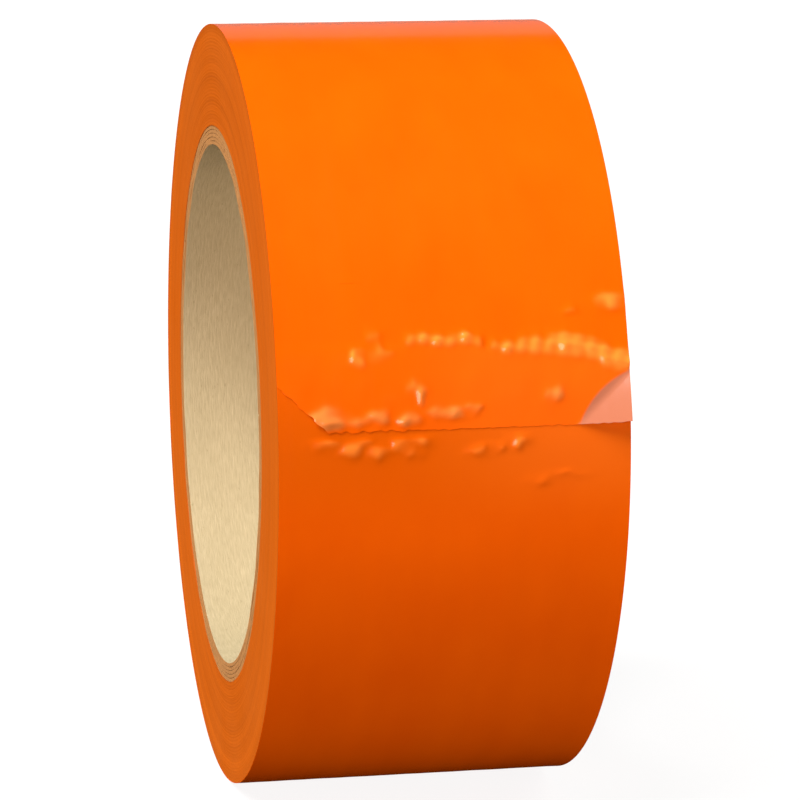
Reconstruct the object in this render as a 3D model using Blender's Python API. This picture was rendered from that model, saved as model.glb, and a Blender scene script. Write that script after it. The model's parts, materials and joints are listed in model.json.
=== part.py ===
"""A roll of packing tape standing on its edge: 48 mm film wound on a 76 mm paperboard core.

+Y runs along the roll's axis and +Z is up. The origin is the middle of the bore. Round pieces share
one set of flat facets, so layers that are wound on each other stay a hair apart without touching, and
the lowest facet is the flat that the roll stands on. The tape's free end hangs on the +X side.
"""

import math

import bmesh
import bpy
from mathutils import Matrix, Vector

MM = 0.001

# Driving sizes
BORE_RADIUS = 38.0 * MM  # a standard 76 mm core
PLY_THICKNESS = 0.5 * MM
TAPE_WIDTH = 48.0 * MM
TAPE_RADIUS = 55.5 * MM  # outside of the outermost turn
FILM_THICKNESS = 0.065 * MM  # film and adhesive together
WOUND_GAP = 0.05 * MM  # left between two layers that really touch
END_GAP = 0.1 * MM  # left between two ends that really meet
CORE_RECESS = 0.1 * MM  # the core is this much shorter than the tape at each side

# Facets, with one of them level at the bottom
FACETS = 96
FACET = 2 * math.pi / FACETS

# Core plies, from the bore outwards, and how far round each one's seam starts
PLIES = {
    "core_liner_ply": 0.02,
    "core_body_ply_1": 0.22,
    "core_body_ply_2": 0.42,
    "core_body_ply_3": 0.62,
    "core_outer_ply": 0.82,
}
SEAM_FACETS = 34  # a ply's seam slants round this many facets across the core's width
SEAM_GAP = 0.4 * MM

# The free end, by angle above the horizontal on the +X side
PEEL_ANGLE = 5.0 * FACET  # the film has come loose below here
BEND_ANGLE = 4.5 * FACET
FLAP_ANGLE = 4.0 * FACET
CORNER_ANGLE = 3.5 * FACET  # the top of the lifted corner
CUT_ANGLE = 1.5 * FACET
CORNER_LEG = TAPE_RADIUS * (CORNER_ANGLE - CUT_ANGLE)  # the lifted corner's two equal edges
CORNER_LIFT = math.radians(26)
CREASE_RISE = 0.06 * MM  # how far a facet corner stands proud of the straight crease that crosses it
TORN_LEG = 6.4 * MM  # the other corner is torn off slantwise, this far along both edges

COATS = {  # linear red, green and blue, then roughness
    "core liner": (0.66, 0.50, 0.27, 0.85),
    "core board": (0.38, 0.27, 0.15, 0.85),
    "tape": (0.92, 0.14, 0.005, 0.25),
    "tape adhesive": (0.80, 0.29, 0.12, 0.35),
}
SHARP_FROM = math.radians(30)


def material(name):
    """One of the plain materials, made the first time that it is asked for."""
    found = bpy.data.materials.get(name)
    if found:
        return found
    *colour, roughness = COATS[name]
    made = bpy.data.materials.new(name)
    made.use_nodes = True
    shader = made.node_tree.nodes["Principled BSDF"]
    shader.inputs["Base Color"].default_value = (*colour, 1)
    shader.inputs["Roughness"].default_value = roughness
    shader.inputs["Metallic"].default_value = 0
    made.diffuse_color = (*colour, 1)
    return made


def faceted(radius, angle, y):
    """A point on a faceted tube whose corners have this radius."""
    middle = round(angle / FACET) * FACET
    reach = radius * math.cos(FACET / 2) / math.cos(angle - middle)
    return Vector((reach * math.cos(angle), y, reach * math.sin(angle)))


def finish(shape, name, coat):
    """Turns a closed bmesh into a named object with its faces pointing out."""
    bmesh.ops.recalc_face_normals(shape, faces=shape.faces[:])
    if shape.calc_volume(signed=True) < 0:
        bmesh.ops.reverse_faces(shape, faces=shape.faces[:])
    mesh = bpy.data.meshes.new(name)
    shape.to_mesh(mesh)
    shape.free()
    mesh.shade_smooth()
    mesh.set_sharp_from_angle(angle=SHARP_FROM)
    mesh.materials.append(coat)
    piece = bpy.data.objects.new(name, mesh)
    bpy.context.collection.objects.link(piece)
    return piece


def thicken(shape, way):
    """Extrudes a sheet into a closed body, by the vector way."""
    grown = bmesh.ops.extrude_face_region(shape, geom=shape.faces[:])
    moved = [item for item in grown["geom"] if isinstance(item, bmesh.types.BMVert)]
    bmesh.ops.translate(shape, verts=moved, vec=way)


def rolled_sheet(name, outline, inside, thickness, coat):
    """A flat sheet cut to an outline of (angle, y) corners, then rolled round the axis.

    The flat sheet is creased at every facet corner, so that it lies on the facets when it is rolled.
    """
    shape = bmesh.new()
    shape.faces.new([shape.verts.new((angle * inside, y, 0)) for angle, y in outline])
    first = min(angle for angle, _ in outline) / FACET + 0.5
    last = max(angle for angle, _ in outline) / FACET + 0.5
    for corner in range(math.floor(first) + 1, math.ceil(last)):
        crease = (corner - 0.5) * FACET * inside
        everything = shape.verts[:] + shape.edges[:] + shape.faces[:]
        bmesh.ops.bisect_plane(shape, geom=everything, plane_co=(crease, 0, 0), plane_no=(1, 0, 0))
    thicken(shape, (0, 0, thickness))
    for vert in shape.verts:
        vert.co = faceted(inside + vert.co.z, vert.co.x / inside, vert.co.y)
    return finish(shape, name, coat)


def core_ply(name, layer, seam_start):
    """One strip of paperboard wound slantwise into a tube, its two long edges nearly meeting."""
    inside = BORE_RADIUS + layer * (PLY_THICKNESS + WOUND_GAP)
    half_width = TAPE_WIDTH / 2 - CORE_RECESS
    start = round(seam_start * FACETS) * FACET
    end = start + SEAM_FACETS * FACET
    edge = SEAM_GAP / 2 / inside
    turn = 2 * math.pi
    outline = [
        (start + edge, -half_width),
        (end + edge, half_width),
        (end + turn - edge, half_width),
        (start + turn - edge, -half_width),
    ]
    is_liner = layer == 0
    coat = material("core liner" if is_liner else "core board")
    return rolled_sheet(name, outline, inside, PLY_THICKNESS, coat)


def outer_radius(angle):
    """The wound tape's outside at an angle past the peel line, going up and over the roll.

    It falls by one film thickness over the last turn, and lies lower still under the free end.
    """
    turns = (angle - PEEL_ANGLE) / (2 * math.pi)
    to_cut = angle - CUT_ANGLE - 2 * math.pi
    if to_cut > -FACET / 4:  # a quarter facet of slack, as the cut is itself at a facet corner
        return TAPE_RADIUS - FILM_THICKNESS - WOUND_GAP
    return TAPE_RADIUS - FILM_THICKNESS * turns


def wound_tape():
    """All the turns of tape but the loose end, as one ring with the last turn's edge on its outside."""
    inside = BORE_RADIUS + len(PLIES) * (PLY_THICKNESS + WOUND_GAP)
    half_width = TAPE_WIDTH / 2
    first = math.ceil(PEEL_ANGLE / FACET - 0.5) + 0.5
    angles = [(first + step) * FACET for step in range(FACETS)]
    lip_angle = PEEL_ANGLE + 2 * math.pi
    lip_foot = lip_angle - END_GAP / TAPE_RADIUS
    shape = bmesh.new()
    outer = [shape.verts.new(faceted(outer_radius(angle), angle, -half_width)) for angle in angles]
    inner = [shape.verts.new(faceted(inside, angle, -half_width)) for angle in angles]
    lip = [
        shape.verts.new(faceted(outer_radius(lip_foot), lip_foot, -half_width)),
        shape.verts.new(faceted(TAPE_RADIUS, lip_angle, -half_width)),
    ]
    for i in range(FACETS):
        after = (i + 1) % FACETS
        step_up = lip if after == 0 else []
        shape.faces.new([outer[i], *step_up, outer[after], inner[after], inner[i]])
    thicken(shape, (0, TAPE_WIDTH, 0))
    return finish(shape, "wound_tape", material("tape"))


def hang(piece, pivot, parent=None, parent_pivot=None):
    """Moves a piece's origin to its hinge, and hangs it from the piece before it."""
    piece.data.transform(Matrix.Translation(-pivot))
    piece.location = pivot - parent_pivot if parent else pivot
    piece.parent = parent


def film_band(name, top_angle, bottom_angle):
    """A strip of loose film right across the tape, between two bends."""
    half_width = TAPE_WIDTH / 2
    clear = END_GAP / 2 / TAPE_RADIUS
    top = top_angle - clear
    bottom = bottom_angle + clear
    outline = [(bottom, -half_width), (bottom, half_width), (top, half_width), (top, -half_width)]
    inside = TAPE_RADIUS - FILM_THICKNESS
    return rolled_sheet(name, outline, inside, FILM_THICKNESS, material("tape"))


def free_end():
    """The last of the tape, with one corner torn off and the other left to the lifted corner."""
    half_width = TAPE_WIDTH / 2
    clear = END_GAP / 2 / TAPE_RADIUS
    top = FLAP_ANGLE - clear
    inside = TAPE_RADIUS - FILM_THICKNESS
    crease_gap = END_GAP * math.sqrt(2)
    outline = [
        (CUT_ANGLE, TORN_LEG - half_width),
        (CUT_ANGLE, half_width - CORNER_LEG - crease_gap),
        (CORNER_ANGLE + crease_gap / TAPE_RADIUS, half_width),
        (top, half_width),
        (top, -half_width),
        (CUT_ANGLE + TORN_LEG / TAPE_RADIUS, -half_width),
    ]
    return rolled_sheet("free_end", outline, inside, FILM_THICKNESS, material("tape"))


def lifted_corner(parent, parent_pivot):
    """The dog-eared corner, flat from its crease to its tip, which stands off the roll.

    The straight crease runs over a facet corner, so it is set out as far as that corner bulges.
    """
    level = TAPE_RADIUS + CREASE_RISE
    side_end = faceted(level, CORNER_ANGLE, TAPE_WIDTH / 2)
    cut_end = faceted(level, CUT_ANGLE, TAPE_WIDTH / 2 - CORNER_LEG)
    tip = faceted(level, CUT_ANGLE, TAPE_WIDTH / 2)
    crease = (cut_end - side_end).normalized()
    outwards = crease.cross(tip - side_end).normalized()
    shape = bmesh.new()
    shape.faces.new([shape.verts.new(point) for point in (side_end, cut_end, tip)])
    thicken(shape, outwards * FILM_THICKNESS)
    piece = finish(shape, "lifted_corner", material("tape adhesive"))
    pivot = (side_end + cut_end) / 2
    hang(piece, pivot, parent, parent_pivot)
    piece.rotation_mode = "QUATERNION"
    piece.rotation_quaternion = Matrix.Rotation(CORNER_LIFT, 3, crease).to_quaternion()
    return piece


def main():
    """Clears the scene, makes the ten pieces and hangs the loose ones from each other."""
    for old in list(bpy.data.objects):
        bpy.data.objects.remove(old, do_unlink=True)
    for layer, (name, seam_start) in enumerate(PLIES.items()):
        core_ply(name, layer, seam_start)
    roll = wound_tape()
    film_middle = TAPE_RADIUS - FILM_THICKNESS / 2
    bends = [faceted(film_middle, angle, 0) for angle in (PEEL_ANGLE, BEND_ANGLE, FLAP_ANGLE)]
    peeling = film_band("peeling_band", PEEL_ANGLE, BEND_ANGLE)
    hang(peeling, bends[0], roll, Vector())
    bending = film_band("bending_band", BEND_ANGLE, FLAP_ANGLE)
    hang(bending, bends[1], peeling, bends[0])
    flap = free_end()
    hang(flap, bends[2], bending, bends[1])
    lifted_corner(flap, bends[2])


main()
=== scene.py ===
"""Looks for a roll of orange packing tape on a paperboard core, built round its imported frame.

The roll's axis is +Y. A point on the film is given by how far it lies along the film from the cut edge,
going up and over the roll, and by its place across the film. Lengths are in metres.
"""

import json
import math

import bmesh
import bpy
import numpy as np
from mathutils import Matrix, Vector


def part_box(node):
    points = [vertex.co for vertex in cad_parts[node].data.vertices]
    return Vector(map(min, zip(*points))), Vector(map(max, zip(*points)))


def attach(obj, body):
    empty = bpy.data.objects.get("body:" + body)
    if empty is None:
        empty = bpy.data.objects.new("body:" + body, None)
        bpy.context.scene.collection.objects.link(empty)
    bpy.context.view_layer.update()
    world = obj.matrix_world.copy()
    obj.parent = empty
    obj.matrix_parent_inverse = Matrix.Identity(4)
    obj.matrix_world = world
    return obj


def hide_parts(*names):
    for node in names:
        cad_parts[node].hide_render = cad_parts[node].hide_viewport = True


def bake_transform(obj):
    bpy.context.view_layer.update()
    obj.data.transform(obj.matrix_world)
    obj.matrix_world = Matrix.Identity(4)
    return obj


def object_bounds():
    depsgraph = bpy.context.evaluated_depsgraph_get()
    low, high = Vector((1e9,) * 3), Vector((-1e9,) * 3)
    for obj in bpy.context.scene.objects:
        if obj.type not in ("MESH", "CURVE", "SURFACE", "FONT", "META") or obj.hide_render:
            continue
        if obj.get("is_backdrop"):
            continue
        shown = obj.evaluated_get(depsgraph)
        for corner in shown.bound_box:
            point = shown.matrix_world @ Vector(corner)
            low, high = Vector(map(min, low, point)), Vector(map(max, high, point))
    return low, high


bl_info = {
    "name": "Packing tape roll",
    "version": (1, 0, 0),
    "blender": (4, 5, 0),
    "location": "View3D > Sidebar > Tape roll",
    "description": "Builds the film, the core and the stage of a packing tape roll",
    "category": "Object",
}

MM = 0.001
TURN = 2 * math.pi
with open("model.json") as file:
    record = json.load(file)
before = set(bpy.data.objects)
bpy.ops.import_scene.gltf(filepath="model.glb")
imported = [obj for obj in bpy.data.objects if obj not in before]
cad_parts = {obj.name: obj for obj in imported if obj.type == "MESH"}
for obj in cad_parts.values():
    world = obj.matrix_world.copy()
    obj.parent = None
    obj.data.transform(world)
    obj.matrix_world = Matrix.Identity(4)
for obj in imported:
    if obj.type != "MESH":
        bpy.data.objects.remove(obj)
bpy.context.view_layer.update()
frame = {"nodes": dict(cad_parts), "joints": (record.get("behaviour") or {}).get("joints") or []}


def reach(node):
    """The least and the greatest distance of a frame node's corners from the roll's axis."""
    corners = np.array([vert.co for vert in frame["nodes"][node].data.vertices])
    distance = np.hypot(corners[:, 0], corners[:, 2])
    return distance.min(), distance.max()


def hinge_angle(name):
    """The angle of a hinge above the horizontal on the +X side, seen along the roll's axis."""
    point = next(joint["pos_m"] for joint in frame["joints"] if joint["name"] == name)
    return math.atan2(point[2], point[0])


# Sizes that come from the frame
WOUND_INSIDE, TAPE_RADIUS = reach("wound_tape")
HALF_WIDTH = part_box("wound_tape")[1].y
CORE_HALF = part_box("core_liner_ply")[1].y
BORE_RADIUS = reach("core_liner_ply")[0]
PLIES = sorted((name for name in frame["nodes"] if name.startswith("core_")), key=reach)
CUT_ANGLE = math.asin(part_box("free_end")[0].z / TAPE_RADIUS)
PEEL, BEND, FLAP = (
    (hinge_angle(name) - CUT_ANGLE) * TAPE_RADIUS for name in ("peel_lift", "bend_lift", "flap_lift")
)
CORNER_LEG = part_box("lifted_corner")[1].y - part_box("lifted_corner")[0].y

# Sizes of the film
FILM = 0.065 * MM
LAP = TURN * TAPE_RADIUS  # one turn of film
STUCK_AT = 20 * MM  # past here the film lies flat on the roll
UNDER_FROM = LAP - 12 * MM  # the last turn's wrinkled stretch starts this far below the cut edge
UNDER_TO = LAP + 17 * MM  # and ends under the loose film
BEND_LENGTH = (PEEL - BEND) * 0.85  # how much film each hinge's bend takes up
CREASE_WIDTH = 1.2 * MM  # the crease is a soft bend, half of it on each side of the hinge line
CREASE_MARGIN = 0.1 * MM  # the flap and the corner part this far short of the bend's middle
TEAR = 6.4 * MM  # how far up from the cut edge the torn corner reaches
TEAR_SLOPE = 1.05  # how far across it runs for its height

# How closely the film is divided along its length
FINE_STEP = 0.16 * MM  # where it bends
MIDDLE_STEP = 0.25 * MM  # in the wrinkles below the cut edge
PEEL_STEP = 0.3 * MM  # from the bends up to where it lies flat
FLAT_STEP = 1.2 * MM

# How many points stand across it
LOOSE_COLUMNS = 261
UNDER_COLUMNS = 221
FLAT_COLUMNS = 49
CORNER_COLUMNS = 41

# The ring of wound turns: steps round it, up each side face and across its inner and outer walls
RING_STEPS = 360
SIDE_STEPS = 118
WALL_STEPS = 6
RING_SINK = 0.004 * MM  # how far the ring stays under the last turn
SIDE_SINK = 0.03 * MM  # how far its side faces stay inside the last turn's edges

# The core's plies: their seams are where the frame's are
FACETS = 96
FIRST_SEAM = 0.02  # of a turn
NEXT_SEAM = 0.2  # of a turn, from each ply's seam to the next one's
SEAM_FACETS = 34  # how far round a seam slants across the core
SEAM_GAP = 0.3 * MM
PLY_ROWS = 321  # points round each ply
PLY_COLUMNS = 41  # points across it
PLY_APART = 0.005 * MM  # how far each ply stays under the next one

SHARP_FROM = math.radians(48)  # an edge that turns by more is drawn sharp
WHITE = (1, 1, 1, 1)

# The stage: the floor, the card that stands behind the roll, the camera and the lights
FLOOR_HALF = 6.0
FLOOR_GLOW = 0.9
CARD_X = -1.0
CARD_Y = (-0.02, 1.0)
CARD_Z = (-0.18, 0.6)
CAMERA_AZIMUTH = math.radians(79.2)
CAMERA_ELEVATION = math.radians(10.0)
CAMERA_REACH = 20.0  # nothing farther off is seen
SUNS = (  # name, where it shines from, how wide it looks in degrees, its colour, whether it is reflected
    ("key", (0.25, -0.48, 0.84), 40, (1, 1, 1), True),
    ("fill", (0.90, -0.42, 0.03), 36, (1, 0.81, 0.73), True),
    ("back", (-0.6, 0.75, 0.3), 50, (1, 0.97, 0.92), False),
    ("side", (0.12, -0.97, -0.13), 50, (1, 0.9, 0.84), False),
)

# Bubbles under the loose film, then wrinkles in the turn that shows below the cut edge, in mm:
# (along from the cut edge, across, half length, half width, height)
LOOSE_HILLS = (
    (1.5, -17.6, 1.3, 2.3, 0.50),
    (1.3, -13.2, 0.9, 1.2, 0.20),
    (1.8, -10.4, 1.0, 1.3, 0.28),
    (1.4, -6.4, 1.0, 1.5, 0.30),
    (2.1, -3.0, 0.8, 1.1, 0.16),
    (2.2, -0.4, 1.0, 1.6, 0.26),
    (2.6, 2.6, 0.7, 1.0, 0.14),
    (10.0, -13.2, 1.2, 0.9, 0.26),
    (12.8, -10.8, 1.1, 1.1, 0.16),
    (10.8, -10.0, 1.2, 1.2, 0.14),
    (4.7, -4.6, 1.1, 0.9, 0.22),
    (6.0, -5.8, 0.8, 0.7, 0.12),
    (4.3, 13.6, 1.2, 1.2, 0.18),
    (16.6, 22.0, 1.2, 2.2, 0.32),
    (15.6, 16.0, 0.8, 1.0, 0.12),
)
TURN_HILLS = (
    (-1.2, -17.6, 1.2, 1.7, 0.20),
    (-2.3, -14.2, 1.1, 1.5, 0.24),
    (-1.2, -12.4, 0.9, 1.2, 0.12),
    (-2.9, -10.6, 1.0, 1.4, 0.22),
    (-1.8, -7.8, 1.0, 1.3, 0.20),
    (-1.3, -4.6, 1.1, 1.4, 0.22),
    (-3.0, -6.0, 0.8, 1.2, 0.12),
    (-3.1, 3.0, 0.8, 1.3, 0.18),
    (-2.7, 5.8, 0.7, 1.0, 0.14),
    (-1.9, 8.6, 0.9, 1.3, 0.24),
    (-7.4, 11.4, 0.7, 1.8, 0.09),
    (-6.6, 15.4, 0.6, 2.4, 0.09),
)


def linear(code):
    """A colour given as sRGB hex, turned linear: in proportion near black, a power of 2.4 above."""
    shares = [int(code[i : i + 2], 16) / 255 for i in (0, 2, 4)]
    return tuple(c / 12.92 if c <= 0.04045 else ((c + 0.055) / 1.055) ** 2.4 for c in shares)


def opaque(colour):
    """A colour with the full alpha that a shader asks for."""
    return (*colour, 1)


def looks():
    """The scene's settings."""
    return bpy.context.scene.tape_roll


# ---------------------------------------------------------------- shapes


def smooth(value, start, end):
    """0 before start and 1 after end: 3 s squared - 2 s cubed, for the share s of the way between."""
    share = np.clip((value - start) / (end - start), 0, 1)
    return share * share * (3 - 2 * share)


def ripple(x, y, size, seed, count=10):
    """Smooth noise of about -1 to 1: the sum of plane waves about as long as size, in seeded directions."""
    rng = np.random.default_rng(seed)
    heading = rng.uniform(0, TURN, count)
    number = TURN / (size * rng.uniform(0.7, 1.5, count))
    phase = rng.uniform(0, TURN, count)
    waves = [
        np.sin(n * (x * math.cos(h) + y * math.sin(h)) + p) for h, n, p in zip(heading, number, phase)
    ]
    return sum(waves) / math.sqrt(count)


def blob(x, y, at, size):
    """A round hill of height 1: e to the minus of the squared distance from its middle, in its own sizes."""
    return np.exp(-(((x - at[0]) / size[0]) ** 2) - ((y - at[1]) / size[1]) ** 2)


def front_line(across):
    """How far along the film it comes loose: 12 mm, then two soft falls towards the lifted corner's side."""
    fall = 1.0 * smooth(across, 1 * MM, 7 * MM) + 2.6 * smooth(across, 14 * MM, 26 * MM)
    return (12.0 - fall) * MM + 0.15 * MM * ripple(across, 0, 5 * MM, 3)


def hills(along, across, table):
    """The sum of round hills given as rows of (along, across, half length, half width, height), all in mm.

    Their outlines are pushed about by smooth noise and their heights vary by a fifth, so none is even.
    """
    x = along + 0.16 * MM * ripple(along, across, 3 * MM, 13)
    y = across + 0.3 * MM * ripple(along, across, 3 * MM, 17)
    uneven = 1 + 0.2 * ripple(along, across, 2 * MM, 19)
    return uneven * sum(
        high * MM * blob(x, y, (x0 * MM, y0 * MM), (long * MM, wide * MM))
        for x0, y0, long, wide, high in table
    )


def loose_height(along, across):
    """How far the loosened film stands off the turn under it.

    It is a low step below the front line, plus a beaded ridge on that line and the single bubbles. The
    ridge's section is e to the minus of the squared distance from the line, in half lengths, and it
    grows wider, higher and smoother to the right.
    """
    front = front_line(across)
    to_right = smooth(across, 2 * MM, 18 * MM)
    below_front = 1 - smooth(along, front - 1.6 * MM, front + 0.2 * MM)
    slack = 0.015 + 0.06 * smooth(along, 0.4 * MM, 5 * MM)
    step = below_front * slack * (1 + 0.15 * ripple(along, across, 4 * MM, 5)) * MM
    beads = 0.6 + 0.4 * ripple(across, along * 0.2, 2.2 * MM, 7, 5) * (1 - 0.6 * to_right)
    begun = smooth(across, -7.5 * MM, -4.5 * MM)
    half_length = (0.85 + 0.6 * to_right) * MM
    section = np.exp(-(((along - front) / half_length) ** 2))
    ridge = (1 + 0.12 * ripple(along, across, 1.8 * MM, 29)) * section
    height = step + begun * beads * (0.34 + 0.24 * to_right) * MM * ridge
    return np.clip(height + hills(along, across, LOOSE_HILLS), 0, None)


def turn_height(along, across):
    """How far the turn that shows below the cut edge stands off: small wrinkles left by the last pull.

    They die away just short of the cut edge, so that they stay clear of the film above.
    """
    return hills(along - LAP, across, TURN_HILLS) * (1 - smooth(along - LAP, -1.3 * MM, -0.4 * MM))


def gauge_bands(along, across):
    """The stretch that lies flat: only the slow bands that calendered film builds up round a roll."""
    return 0.012 * MM * ripple(across, along * 0.02, 6 * MM, 31)


def on_roll(distance, angle, y):
    """Points by their distance from the roll's axis, angle above the horizontal and place along it."""
    return np.stack([distance * np.cos(angle), y, distance * np.sin(angle)], axis=-1)


def past_crease(along, across):
    """How far a point lies past the diagonal crease, towards the lifted corner's tip."""
    return (CORNER_LEG - along - (HALF_WIDTH - across)) / math.sqrt(2)


def curl(past, lift):
    """Where a strip that bends by lift over the crease's width has got to, forwards and upwards.

    Over the crease it is an arc of radius width / lift, and past it a straight line at that slope.
    """
    radius = CREASE_WIDTH / lift
    bent = np.clip(past, 0, CREASE_WIDTH) / radius
    beyond = np.clip(past - CREASE_WIDTH, 0, None)
    forwards = radius * np.sin(bent) + beyond * math.cos(lift)
    upwards = radius * (1 - np.cos(bent)) + beyond * math.sin(lift)
    return forwards, upwards


def film_points(along, across, height_of):
    """Points on the outside of the film, wound as a spiral that falls one film's thickness a turn.

    angle = cut angle + along / radius; distance from the axis = radius - film x turns + height. Past the
    crease the film curls up instead, and is drawn in at right angles to the crease by what the curl takes.
    """
    past = np.clip(past_crease(along, across) + CREASE_WIDTH / 2, 0, None)
    forwards, upwards = curl(past, looks().corner_lift)
    drawn_in = (past - forwards) / math.sqrt(2)
    flat = 1 - smooth(past, 0, CREASE_WIDTH)
    height = height_of(along, across) * flat + upwards
    along = along + drawn_in
    across = across - drawn_in
    angle = CUT_ANGLE + along / TAPE_RADIUS
    distance = TAPE_RADIUS - FILM * along / LAP + height
    return on_roll(distance, angle, across)


def film_layers(along, across, height_of):
    """The outside and the inside of the film: the inside is set back along the surface's own normal.

    The normal is the cross product of the small steps across the film and along it.
    """
    small = 0.02 * MM
    outer = film_points(along, across, height_of)
    by_length = film_points(along + small, across, height_of) - film_points(along - small, across, height_of)
    by_width = film_points(along, across + small, height_of) - film_points(along, across - small, height_of)
    normal = np.cross(by_width, by_length)
    normal /= np.linalg.norm(normal, axis=-1, keepdims=True)
    outwards = np.sign(np.sum(normal * outer * (1, 0, 1), axis=-1, keepdims=True))
    return outer, outer - FILM * normal * outwards


# ---------------------------------------------------------------- meshes


def piece_from(name, points, quads, uv, coats, coat_of=None, marks=None, merge=0.0):
    """A named object from arrays of points, of quads and of one UV pair a point.

    Marks are numbers for each point that the finishes read by their titles. If the signed volume, the
    sum of a x b . c over the faces' triangles, is negative, the faces are turned round.
    """
    corners = points[quads]
    a, b, c, d = (corners[:, i] for i in range(4))
    volume = np.sum(a * np.cross(b, c)) + np.sum(a * np.cross(c, d))
    if volume < 0:
        quads = quads[:, ::-1]
    mesh = bpy.data.meshes.new(name)
    mesh.from_pydata(points.tolist(), [], quads.tolist())
    layer = mesh.uv_layers.new(name="film")
    place = np.zeros(len(mesh.loops), np.int32)
    mesh.loops.foreach_get("vertex_index", place)
    layer.data.foreach_set("uv", uv[place].astype(np.float32).ravel())
    for title, values in (marks or {}).items():
        mark = mesh.attributes.new(title, "FLOAT", "POINT")
        mark.data.foreach_set("value", values.astype(np.float32).ravel())
    for finish in coats:
        mesh.materials.append(finish)
    if coat_of is not None:
        mesh.polygons.foreach_set("material_index", coat_of.astype(np.int32))
    if merge:
        shape = bmesh.new()
        shape.from_mesh(mesh)
        bmesh.ops.remove_doubles(shape, verts=shape.verts, dist=merge)
        shape.to_mesh(mesh)
        shape.free()
    mesh.shade_smooth()
    mesh.set_sharp_from_angle(angle=SHARP_FROM)
    piece = bpy.data.objects.new(name, mesh)
    bpy.context.collection.objects.link(piece)
    return piece


def sheet_between(name, outer, inner, uv, coats, marks=None, merge=0.0):
    """A closed sheet between two grids of points: its two faces and the walls round their edge.

    The inner face has the second finish, and the rest has the first.
    """
    rows, columns = outer.shape[:2]
    index = np.arange(rows * columns).reshape(rows, columns)
    grid = [index[:-1, :-1], index[1:, :-1], index[1:, 1:], index[:-1, 1:]]
    front = np.stack([part.ravel() for part in grid], axis=1)
    back = front[:, ::-1] + rows * columns
    rim = np.concatenate([index[0, :-1], index[:-1, -1], index[-1, :0:-1], index[:0:-1, 0]])
    after = np.roll(rim, -1)
    wall = np.stack([rim, after, after + rows * columns, rim + rows * columns], axis=1)
    quads = np.concatenate([front, back, wall])
    coat_of = np.concatenate([np.zeros(len(front)), np.ones(len(back)), np.zeros(len(wall))])
    points = np.concatenate([outer.reshape(-1, 3), inner.reshape(-1, 3)])
    doubled = np.concatenate([uv.reshape(-1, 2)] * 2)
    both = {title: np.concatenate([values.ravel()] * 2) for title, values in (marks or {}).items()}
    return piece_from(name, points, quads, doubled, coats, coat_of, both, merge)


def closed_ring(name, grid, uv, coats):
    """A closed ring from a grid of points: its rows go round the roll, its columns round the wall."""
    rows, columns = grid.shape[:2]
    index = np.arange(rows * columns).reshape(rows, columns)
    below = np.roll(index, -1, axis=0)
    parts = [index, below, np.roll(below, -1, axis=1), np.roll(index, -1, axis=1)]
    quads = np.stack([part.ravel() for part in parts], axis=1)
    return piece_from(name, grid.reshape(-1, 3), quads, uv.reshape(-1, 2), coats)


# ---------------------------------------------------------------- materials


def add(tree, kind, inputs=None, **settings):
    """Adds a node: settings are its own values, and inputs are numbers, colours or other nodes' outputs.

    An input is named, or numbered where several have the same name.
    """
    node = tree.nodes.new(kind)
    for name, value in settings.items():
        setattr(node, name, value)
    for name, value in (inputs or {}).items():
        if isinstance(value, bpy.types.NodeSocket):
            tree.links.new(value, node.inputs[name])
        else:
            node.inputs[name].default_value = value
    return node


def coat(name, colour, roughness, ior):
    """A plain finish in one colour, with its node tree and its shader."""
    made = bpy.data.materials.new(name)
    made.use_nodes = True
    made.diffuse_color = opaque(colour)
    tree = made.node_tree
    shader = tree.nodes["Principled BSDF"]
    shader.inputs["Base Color"].default_value = opaque(colour)
    shader.inputs["Roughness"].default_value = roughness
    shader.inputs["IOR"].default_value = ior
    return made, tree, shader


def in_mm(tree, socket, scale):
    """A pattern space with this many pattern units to the millimetre along each of its axes."""
    return add(tree, "ShaderNodeMapping", {"Vector": socket, "Scale": [s / MM for s in scale]}).outputs[0]


def noise(tree, space, detail, roughness=0.5):
    """Blender's noise at one unit a grain, so that the space alone sets its size."""
    inputs = {"Vector": space, "Scale": 1.0, "Detail": detail, "Roughness": roughness}
    return add(tree, "ShaderNodeTexNoise", inputs).outputs["Fac"]


def between(tree, share, low, high):
    """A number from low to high, as share goes from a quarter to three quarters."""
    inputs = {"Value": share, "From Min": 0.25, "From Max": 0.75, "To Min": low, "To Max": high}
    return add(tree, "ShaderNodeMapRange", inputs).outputs[0]


def mixed(tree, share, first, second):
    """A colour between two: the first where share is 0 and the second where it is 1."""
    return add(tree, "ShaderNodeMix", {0: share, 6: first, 7: second}, data_type="RGBA").outputs[2]


def finished(tree, shader, colour, roughness, height, distance):
    """Leads a pattern into the shader: its colour, its roughness, and its height as a bump for the light."""
    bump = add(tree, "ShaderNodeBump", {"Height": height, "Distance": distance, "Strength": 1.0})
    tree.links.new(colour, shader.inputs["Base Color"])
    tree.links.new(roughness, shader.inputs["Roughness"])
    tree.links.new(bump.outputs[0], shader.inputs["Normal"])


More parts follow.
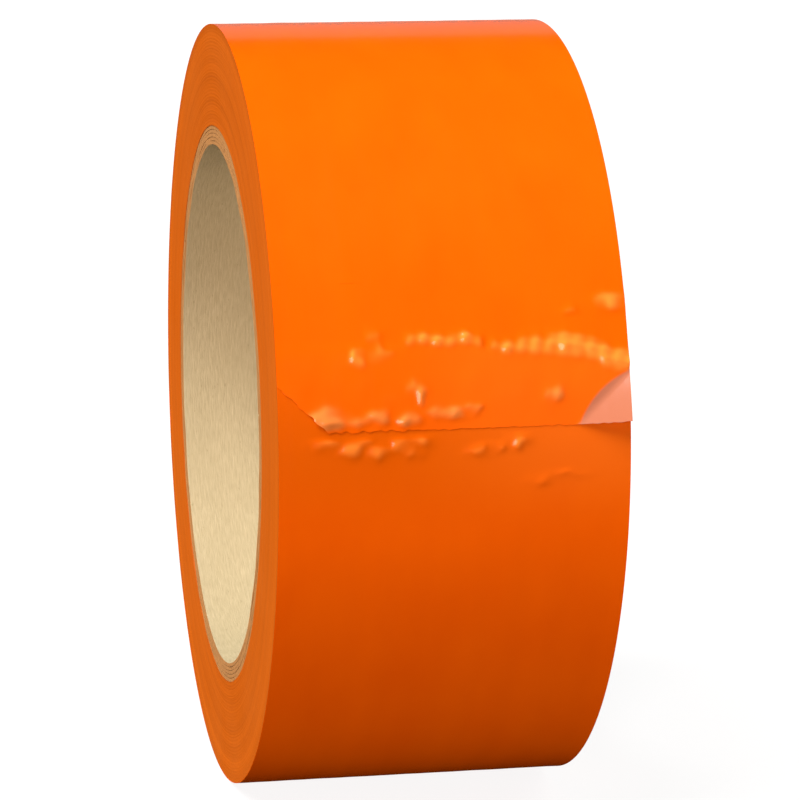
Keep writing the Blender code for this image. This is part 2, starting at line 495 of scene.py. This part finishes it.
def calendered_film():
    """Orange PVC film, calendered and release coated: a clear gloss over deep colour.

    Faint streaks run along the winding, and thick and thin patches lie in clouds about 10 mm across. Painted
    shade darkens it just below the cut edge. A yellow painted highlight lies on the bubbles and the ridge,
    with a faint painted reflection over the rest of the loose film. A pale pink painted reflection lies on
    the lifted corner.
    """
    made, tree, shader = coat("calendered orange film", looks().film_colour, roughness=0.16, ior=1.46)
    uv = add(tree, "ShaderNodeTexCoord").outputs["UV"]
    clouds = noise(tree, in_mm(tree, uv, (0.07, 0.11, 1)), detail=3)
    streaks = noise(tree, in_mm(tree, uv, (0.03, 1.2, 1)), detail=4)  # real ones are finer than 0.8 mm
    deep = opaque(looks().film_deep_colour)
    colour = mixed(tree, between(tree, clouds, 0, 1), opaque(looks().film_colour), deep)
    # Painted light mixed into the film's colour: painted shade below the cut edge, a painted highlight on
    # the bubbles and the ridge, and a pale pink painted reflection on the lifted corner.
    for mark in ("tight", "aired", "folded"):
        share = add(tree, "ShaderNodeAttribute", attribute_name=mark).outputs["Fac"]
        colour = mixed(tree, share, colour, opaque(getattr(looks(), f"{mark}_colour")))
    finished(tree, shader, colour, between(tree, streaks, 0.13, 0.2), streaks, 0.004 * MM)
    return made


def adhesive_side():
    """The film's inner face under its layer of rubber adhesive: duller and paler than the outside.

    Its stipple is about 0.6 mm across, as the adhesive is left when it is pulled off.
    """
    # Its first colour is the pale pink of the corner's painted reflection; the grain colour linked below
    # takes its place in the shader.
    made, tree, shader = coat("rubber adhesive on film", looks().folded_colour, roughness=0.4, ior=1.5)
    uv = add(tree, "ShaderNodeTexCoord").outputs["UV"]
    grain = noise(tree, in_mm(tree, uv, (1.6, 1.6, 1)), detail=4)
    base, pale = opaque(looks().film_colour), opaque(linear("F79A5C"))
    colour = mixed(tree, between(tree, grain, 0.2, 0.5), base, pale)
    finished(tree, shader, colour, between(tree, grain, 0.32, 0.5), grain, 0.03 * MM)
    return made


def film_coats():
    """The film's outside and its adhesive side, which its pieces share: each is made only once."""
    kept = bpy.data.materials
    return [
        kept.get("calendered orange film") or calendered_film(),
        kept.get("rubber adhesive on film") or adhesive_side(),
    ]


def film_edges():
    """The side of the roll, hundreds of slit film edges: satin, browner than the face, in fine rings.

    The rings are really 0.065 mm apart, and are drawn about five times as coarse so that they show.
    Broader bands about 3 mm wide and patches about 17 mm across come from uneven winding and handling.
    """
    made, tree, shader = coat("slit film edges", looks().edge_colour, roughness=0.45, ior=1.5)
    shader.inputs["Specular IOR Level"].default_value = 0.2
    places = add(tree, "ShaderNodeTexCoord").outputs
    rings = noise(tree, in_mm(tree, places["UV"], (3.2, 0.0, 0.0)), detail=3, roughness=0.7)
    bands = noise(tree, in_mm(tree, places["UV"], (0.35, 0.0, 0.0)), detail=2)
    patches = noise(tree, in_mm(tree, places["Object"], (0.06, 0.06, 0.06)), detail=2)
    colour = mixed(tree, between(tree, rings, 0, 0.8), opaque(looks().edge_colour), opaque(linear("8C3C05")))
    colour = mixed(tree, between(tree, bands, 0, 0.6), colour, opaque(linear("C9600E")))
    colour = mixed(tree, between(tree, patches, 0, 0.3), colour, opaque(linear("B66020")))
    finished(tree, shader, colour, between(tree, rings, 0.35, 0.6), rings, 0.04 * MM)
    return made


def paperboard(name, light, dark, fleck):
    """Rolled paper ply: matte, with fibres about 2 mm long lying along the strip, and small flecks.

    The patches about 12 mm across are where the pulp lies thicker or thinner.
    """
    made, tree, shader = coat(name, light, roughness=0.85, ior=1.45)
    places = add(tree, "ShaderNodeTexCoord").outputs
    fibres = noise(tree, in_mm(tree, places["UV"], (0.5, 3.5, 1)), detail=5, roughness=0.6)
    patches = noise(tree, in_mm(tree, places["Object"], (0.08, 0.08, 0.08)), detail=3)
    flecks = noise(tree, in_mm(tree, places["UV"], (1.1, 2.4, 1)), detail=1)
    colour = mixed(tree, between(tree, fibres, 0, 1), opaque(light), opaque(dark))
    colour = mixed(tree, between(tree, patches, 0, 0.4), colour, opaque(dark))
    few = {"Value": flecks, "From Min": 0.68, "From Max": 0.8, "To Max": 0.6}
    colour = mixed(tree, add(tree, "ShaderNodeMapRange", few).outputs[0], colour, opaque(fleck))
    finished(tree, shader, colour, between(tree, fibres, 0.75, 0.95), fibres, 0.05 * MM)
    return made


# ---------------------------------------------------------------- pieces


def spaced(*stretches):
    """Places along the film: each stretch is (start, end, step), and the next starts where it ends."""
    runs = [np.linspace(a, b, max(2, round(abs(b - a) / step) + 1)) for a, b, step in stretches]
    return np.concatenate([runs[0]] + [run[1:] for run in runs[1:]])


def left_edge(along):
    """The film's left edge: straight, then torn away slantwise near the cut edge, with a ragged line."""
    torn = np.clip(TEAR - along, 0, None) * TEAR_SLOPE
    rag = 0.12 * MM * ripple(along, 0 * along, 0.9 * MM, 41) * smooth(TEAR - along, 0, 1 * MM)
    return -HALF_WIDTH + torn + rag


def crease_edge(along):
    """The line where the flap parts from the corner: the side edge, then just short of the crease."""
    line = HALF_WIDTH - CORNER_LEG + along - CREASE_MARGIN * math.sqrt(2)
    return np.minimum(HALF_WIDTH, line)


def cut_edge_rag(along, across):
    """How far the cut edge wanders along the film: smooth noise, more of it on the left, gone in 0.6 mm."""
    near_cut = np.clip(1 - along / (0.6 * MM), 0, 1)
    size = (0.05 + 0.10 * (1 - smooth(across, -6 * MM, 6 * MM))) * MM
    return near_cut * (size * ripple(across, 0 * across, 1.3 * MM, 43))


def film_marks(along, across, height_of):
    """How strongly each point of the film shows its three painted marks, from 0 to 1.

    The painted shade is strongest just below the cut edge, and half as strong on the right. The painted
    highlight follows the height of the bubbles, and a faint painted reflection lies over the rest of the
    loose film and below the cut edge on the right. The pale pink painted reflection begins at an arc that
    bulges from the crease, which is 1 - the squared share of the crease's half length, and it is a faint
    painted highlight on the bubbles by the cut edge.
    """
    bubbled = smooth(height_of(along, across), 0.06 * MM, 0.34 * MM)
    front = front_line(across)
    loose = (1 - smooth(along, front - 1 * MM, front)) * smooth(across, -12 * MM, 8 * MM)
    below_cut = smooth(along, LAP - 16 * MM, LAP - 2 * MM)
    to_right = smooth(across, -10 * MM, 18 * MM)
    # The pale pink painted reflection on the lifted corner starts at an arc off the crease.
    from_middle = (HALF_WIDTH - across - along) / (CORNER_LEG * 0.9)
    bulge = 0.9 * MM * np.clip(1 - from_middle**2, 0, None)
    folded = smooth(past_crease(along, across) + bulge, -0.25 * MM, 0.25 * MM)
    by_cut = 1 - smooth(along % LAP, 3 * MM, 8 * MM)
    return {
        # painted shade just below the cut edge, half as strong on the right
        "tight": below_cut * (1 - 0.5 * to_right),
        # painted highlight on the bubbles and the ridge; faint painted reflection over the loose film and
        # below the cut edge on the right
        "aired": np.maximum(bubbled, 0.1 * loose + 0.18 * below_cut * to_right),
        # pale pink painted reflection on the lifted corner; faint painted highlight on the bubbles by the
        # cut edge
        "folded": np.maximum(folded, 0.25 * bubbled * by_cut),
    }


def film_piece(name, along, left, right, columns, height_of, merge=0.0):
    """A stretch of film between two edges, as a closed sheet with its marks."""
    share = np.linspace(0, 1, columns)
    across = left[:, None] * (1 - share) + right[:, None] * share
    along = np.repeat(along[:, None], columns, axis=1)
    along = along + cut_edge_rag(along, across)
    outer, inner = film_layers(along, across, height_of)
    uv = np.stack([along, across], axis=-1)
    marks = film_marks(along, across, height_of)
    return sheet_between(name, outer, inner, uv, film_coats(), marks, merge)


def surface_point(along, across=0.0):
    """One point on the outside of the film where it lies flat."""
    return Vector(film_points(np.array(along), np.array(across), gauge_bands))


def ply_layers(layer, thickness):
    """The outside and the inside of one ply of the core, and its UV map.

    It is a strip wound once round the axis at radius = bore + layers x thickness, whose seam's angle
    grows evenly across it. Its ends are worn by smooth noise and rounded off, every other ply is a
    little narrower, and the innermost is slightly wavy inside.
    """
    inside = BORE_RADIUS + layer * thickness
    start = round((FIRST_SEAM + NEXT_SEAM * layer) * FACETS) * TURN / FACETS
    slant = SEAM_FACETS * TURN / FACETS
    width = np.linspace(-1, 1, PLY_COLUMNS)
    share = np.linspace(0, 1, PLY_ROWS)
    seam = start + (width + 1) / 2 * slant
    gap = SEAM_GAP / inside
    angle = seam[None, :] + gap / 2 + share[:, None] * (TURN - gap)
    wear = 0.03 * MM * ripple(inside * np.cos(angle), inside * np.sin(angle), 9 * MM, 51 + layer)
    y = width[None, :] * (CORE_HALF + wear - 0.02 * MM * (layer % 2))
    rounding = 0.03 * MM * smooth(np.abs(width), 0.985, 1.0)[None, :]
    wave = 0.015 * MM * ripple(angle * inside, y, 12 * MM, 61) if layer == 0 else 0
    outer = on_roll(inside + thickness - PLY_APART - rounding, angle, y)
    inner = on_roll(inside + rounding + wave, angle, y)
    return outer, inner, np.stack([angle * inside, y], axis=-1)


def wall_line():
    """The line round the ring's wall: out along one side face, over the outside, back in and over the core.

    For each point it gives the share of the way out, the side from -1 to 1, and 1 on a side face.
    """
    out = np.linspace(0, 1, SIDE_STEPS)
    over = np.linspace(-1, 1, WALL_STEPS + 2)[1:-1]
    depth = np.concatenate([out, np.ones(WALL_STEPS), out[::-1], np.zeros(WALL_STEPS)])
    side = np.concatenate([-np.ones(SIDE_STEPS), over, np.ones(SIDE_STEPS), -over])
    on_face = np.concatenate([np.ones(SIDE_STEPS), np.zeros(WALL_STEPS)] * 2)
    return depth, side, on_face


def wound_ring():
    """A grid of points for the mass of wound turns, and its UV map.

    The outside falls by one film's thickness over a turn and steps up under the last turn's start. The
    side faces carry a spiral of rings, a sine of (distance + pitch x turns) / pitch, on slow noise.
    """
    pitch = looks().ring_pitch
    tail = (UNDER_TO - LAP) / TAPE_RADIUS
    angle = (CUT_ANGLE + tail + np.linspace(0, TURN, RING_STEPS, endpoint=False))[:, None]
    turns = (angle - CUT_ANGLE) / TURN
    step_up = smooth(turns, tail / TURN + 0.997, tail / TURN + 1.0)
    outside = TAPE_RADIUS - FILM * (1 + turns - step_up) - RING_SINK
    depth, side, on_face = wall_line()
    distance = WOUND_INSIDE + depth * (outside - WOUND_INSIDE)
    spiral = distance + pitch * angle / TURN
    rings = 0.012 * np.sin(TURN * spiral / pitch) + 0.022 * ripple(distance, 0 * distance, 2.2 * MM, 71)
    uneven = 0.02 * ripple(distance * np.cos(angle), distance * np.sin(angle), 13 * MM, 73)
    y = side * (HALF_WIDTH - SIDE_SINK + (rings + uneven) * MM * on_face)
    return on_roll(distance, angle, y), np.stack([distance, y], axis=-1)


class TAPE_OT_core(bpy.types.Operator):
    """Winds the five paperboard strips of the core"""

    bl_idname = "tape.core"
    bl_label = "Core plies"

    def execute(self, context):
        liner = paperboard("cream liner paper", looks().liner_colour, linear("A39470"), linear("8E7F58"))
        board = paperboard("recycled core board", looks().board_colour, linear("8F6334"), linear("6E4F2C"))
        thickness = (WOUND_INSIDE - BORE_RADIUS) / len(PLIES)
        for layer, name in enumerate(PLIES):
            coats = [board, liner if layer == 0 else board]
            piece = sheet_between(f"{name}_paper", *ply_layers(layer, thickness), coats)
            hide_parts(name)
            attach(piece, "roll")
        return {"FINISHED"}


class TAPE_OT_wound(bpy.types.Operator):
    """Makes the mass of wound turns, with its ringed side faces"""

    bl_idname = "tape.wound"
    bl_label = "Wound turns"

    def execute(self, context):
        piece = closed_ring("wound_turns", *wound_ring(), [film_edges()])
        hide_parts("wound_tape")
        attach(piece, "roll")
        return {"FINISHED"}


class TAPE_OT_last_turn(bpy.types.Operator):
    """Lays the last whole turn of film round the roll, and its stretch below the cut edge"""

    bl_idname = "tape.last_turn"
    bl_label = "Last turn"

    def execute(self, context):
        fine_to = LAP + 1 * MM
        over = spaced((STUCK_AT, UNDER_FROM, FLAT_STEP))
        under = spaced((UNDER_FROM, fine_to, MIDDLE_STEP), (fine_to, UNDER_TO, FLAT_STEP))
        parts = (
            ("last_turn", over, FLAT_COLUMNS, gauge_bands),
            ("last_turn_below_cut", under, UNDER_COLUMNS, turn_height),
        )
        for name, along, columns, height_of in parts:
            edge = np.full(len(along), HALF_WIDTH)
            piece = film_piece(name, along, -edge, edge, columns, height_of)
            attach(piece, "roll")
        return {"FINISHED"}


class TAPE_OT_loose_end(bpy.types.Operator):
    """Makes the loosened end of the film in three stretches, parted at its three hinge lines, and its
    dog-eared corner
    """

    bl_idname = "tape.loose_end"
    bl_label = "Loose end"

    def execute(self, context):
        corner_top = CORNER_LEG + CREASE_MARGIN * math.sqrt(2)
        stretches = (
            ("peeling_film", "peeling_band", spaced((STUCK_AT, PEEL, PEEL_STEP), (PEEL, BEND, FINE_STEP))),
            ("bending_film", "bending_band", spaced((BEND, FLAP, FINE_STEP))),
            ("flap_film", "free_end", spaced((FLAP, corner_top, FINE_STEP), (corner_top, 0, FINE_STEP))),
        )
        hinges = (("roll", "peeling", PEEL), ("peeling", "bending", BEND), ("bending", "flap", FLAP))
        for (name, node, along), (before, after, hinge) in zip(stretches, hinges):
            edges = left_edge(along), crease_edge(along)
            piece = film_piece(name, along, *edges, LOOSE_COLUMNS, loose_height)
            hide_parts(node)
            surface_point(hinge)
            surface_point(hinge - BEND_LENGTH)
            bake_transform(piece)
        along = spaced((corner_top, 0, FINE_STEP))
        edges = crease_edge(along), np.full(len(along), HALF_WIDTH)
        piece = film_piece("dog_eared_corner", along, *edges, CORNER_COLUMNS, loose_height, merge=1e-7)
        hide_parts("lifted_corner")
        crease = surface_point(CORNER_LEG / 2, HALF_WIDTH - CORNER_LEG / 2)
        past = CREASE_WIDTH / 2 / math.sqrt(2)
        beyond = surface_point(CORNER_LEG / 2 - past, HALF_WIDTH - CORNER_LEG / 2 + past)
        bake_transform(piece)
        return {"FINISHED"}


def glowing_sheet(name, corners, finish, colour, roughness, strength):
    """A flat sheet of the stage, in a dull finish that gives off an even white light of its own."""
    made, _, shader = coat(finish, colour, roughness, ior=1.45)
    shader.inputs["Emission Color"].default_value = WHITE
    shader.inputs["Emission Strength"].default_value = strength
    mesh = bpy.data.meshes.new(name)
    mesh.from_pydata(corners, [], [(0, 1, 2, 3)])
    mesh.materials.append(made)
    sheet = bpy.data.objects.new(name, mesh)
    sheet.visible_diffuse = False
    sheet.visible_shadow = False
    bpy.context.scene.collection.objects.link(sheet)
    return sheet


def soft_sun(name, way, spread, colour, reflected):
    """A sun that shines from the way given and looks as wide as spread. Its strength is a setting."""
    lamp = bpy.data.lights.new(name, "SUN")
    lamp.energy = getattr(looks(), f"{name}_strength")
    lamp.angle = math.radians(spread)
    lamp.color = colour
    sun = bpy.data.objects.new(name, lamp)
    sun.rotation_euler = Vector(way).to_track_quat("Z", "Y").to_euler()
    sun.visible_glossy = reflected
    bpy.context.scene.collection.objects.link(sun)


def white_world():
    """A white surround that the camera sees and that lights nothing."""
    world = bpy.data.worlds.new("studio")
    world.use_nodes = True
    background = world.node_tree.nodes["Background"]
    background.inputs["Color"].default_value = WHITE
    background.inputs["Strength"].default_value = 1.0
    bpy.context.scene.world = world
    world.cycles_visibility.diffuse = False
    world.cycles_visibility.glossy = False


def aimed_camera():
    """The scene's camera, which looks at a point close to the roll's middle.

    It stands at distance x (cos e sin a, -cos e cos a, sin e), for the azimuth a and the elevation e.
    """
    away = Vector((math.sin(CAMERA_AZIMUTH), -math.cos(CAMERA_AZIMUTH), 0)) * math.cos(CAMERA_ELEVATION)
    away.z = math.sin(CAMERA_ELEVATION)
    right = Vector((math.cos(CAMERA_AZIMUTH), math.sin(CAMERA_AZIMUTH), 0))
    up = away.cross(right)
    lens = bpy.data.cameras.new("camera")
    lens.lens = looks().camera_lens
    lens.clip_end = CAMERA_REACH
    camera = bpy.data.objects.new("camera", lens)
    camera.location = away * looks().camera_distance
    look = (right * looks().aim_right + up * looks().aim_up) - camera.location
    camera.rotation_euler = look.to_track_quat("-Z", "Y").to_euler()
    bpy.context.scene.collection.objects.link(camera)
    bpy.context.scene.camera = camera


class TAPE_OT_stage(bpy.types.Operator):
    """Sets out the pale floor, the white card, the soft lights and the camera"""

    bl_idname = "tape.stage"
    bl_label = "Stage"

    def execute(self, context):
        context.scene.view_settings.view_transform = "Standard"
        level = min(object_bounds()[0].z, -TAPE_RADIUS + FILM)
        size = FLOOR_HALF
        corners = [(-size, -size, level), (size, -size, level), (size, size, level), (-size, size, level)]
        grey = linear("5A5A5A")  # dull under its glow, so that the roll's shadow stays faint
        floor = glowing_sheet("floor", corners, "white paper sweep", grey, 0.9, FLOOR_GLOW)
        floor.visible_glossy = False
        floor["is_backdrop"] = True
        (near, far), (low, high) = CARD_Y, CARD_Z
        corners = [(CARD_X, near, low), (CARD_X, far, low), (CARD_X, far, high), (CARD_X, near, high)]
        black = linear("000000")  # it only glows, so the suns don't change it
        card = glowing_sheet("card", corners, "white card", black, 1.0, looks().card_strength)
        card.visible_camera = False
        card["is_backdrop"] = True
        for sun in SUNS:
            soft_sun(*sun)
        white_world()
        aimed_camera()
        return {"FINISHED"}


def colour_setting(name, description, code):
    """A colour among the settings, with its default given as sRGB hex."""
    return bpy.props.FloatVectorProperty(
        name=name, description=description, subtype="COLOR", default=linear(code)
    )


def light_setting(name, description, strength):
    """A light's strength among the settings."""
    return bpy.props.FloatProperty(name=name, description=description, default=strength, min=0)


def length_setting(name, description, length):
    """A length among the settings."""
    return bpy.props.FloatProperty(name=name, description=description, default=length, unit="LENGTH")


class TapeRollLooks(bpy.types.PropertyGroup):
    """The sizes, colours and lights that a user would change."""

    film_colour: colour_setting("Film", "Orange of the film", "F16203")
    film_deep_colour: colour_setting("Film, deep", "Orange where the film is thick", "EC5C02")
    # Painted shade: the darker orange just below the cut edge
    tight_colour: colour_setting("Film, tight", "Film below the cut edge", "D95902")
    # Painted highlight: the paler, yellower orange on the bubbles and the ridge
    aired_colour: colour_setting("Film, aired", "Film with air under it", "FA882F")
    # Painted reflection: the pale pink of the lifted corner, also a faint painted highlight on bubbles by
    # the cut edge
    folded_colour: colour_setting("Film, folded", "Film by the folded corner", "B86F52")
    edge_colour: colour_setting("Film edges", "Side of the roll", "B65508")
    liner_colour: colour_setting("Liner", "Paper inside the core", "BEAD89")
    board_colour: colour_setting("Board", "Core board", "AA7741")
    corner_lift: bpy.props.FloatProperty(
        name="Corner lift",
        description="How far the corner is bent up",
        subtype="ANGLE",
        default=math.radians(26),
    )
    ring_pitch: length_setting("Ring pitch", "Distance between the drawn rings", 0.5 * MM)
    key_strength: light_setting("Key", "Light from above", 5.0)
    fill_strength: light_setting("Fill", "Light from the front", 2.2)
    back_strength: light_setting("Back", "Light from behind", 4.0)
    side_strength: light_setting("Side", "Light from the side", 2.1)
    card_strength: light_setting("Card", "White card behind", 0.22)
    camera_distance: length_setting("Distance", "From the camera to the roll's middle", 0.541)
    camera_lens: bpy.props.FloatProperty(
        name="Lens", description="Focal length", subtype="DISTANCE_CAMERA", default=164.5
    )
    aim_right: length_setting("Aim right", "How far right of the middle the camera looks", 0.00317)
    aim_up: length_setting("Aim up", "How far above the middle the camera looks", -0.00025)


class TAPE_PT_panel(bpy.types.Panel):
    """Lists the roll's pieces and its looks"""

    bl_idname = "TAPE_PT_panel"
    bl_label = "Packing tape roll"
    bl_space_type = "VIEW_3D"
    bl_region_type = "UI"
    bl_category = "Tape roll"

    def draw(self, context):
        for step in STEPS:
            self.layout.operator(step.bl_idname)
        for name in TapeRollLooks.__annotations__:
            self.layout.prop(context.scene.tape_roll, name)


STEPS = (TAPE_OT_core, TAPE_OT_wound, TAPE_OT_last_turn, TAPE_OT_loose_end, TAPE_OT_stage)
CLASSES = (TapeRollLooks, *STEPS, TAPE_PT_panel)


def register():
    """Adds the settings, the operators and the panel."""
    for kind in CLASSES:
        bpy.utils.register_class(kind)
    bpy.types.Scene.tape_roll = bpy.props.PointerProperty(type=TapeRollLooks)


def unregister():
    """Takes them away again."""
    del bpy.types.Scene.tape_roll
    for kind in reversed(CLASSES):
        bpy.utils.unregister_class(kind)


def main():
    """Builds every piece and the stage."""
    register()
    bpy.ops.tape.core()
    bpy.ops.tape.wound()
    bpy.ops.tape.last_turn()
    bpy.ops.tape.loose_end()
    bpy.ops.tape.stage()


if __name__ == "__main__":
    main()
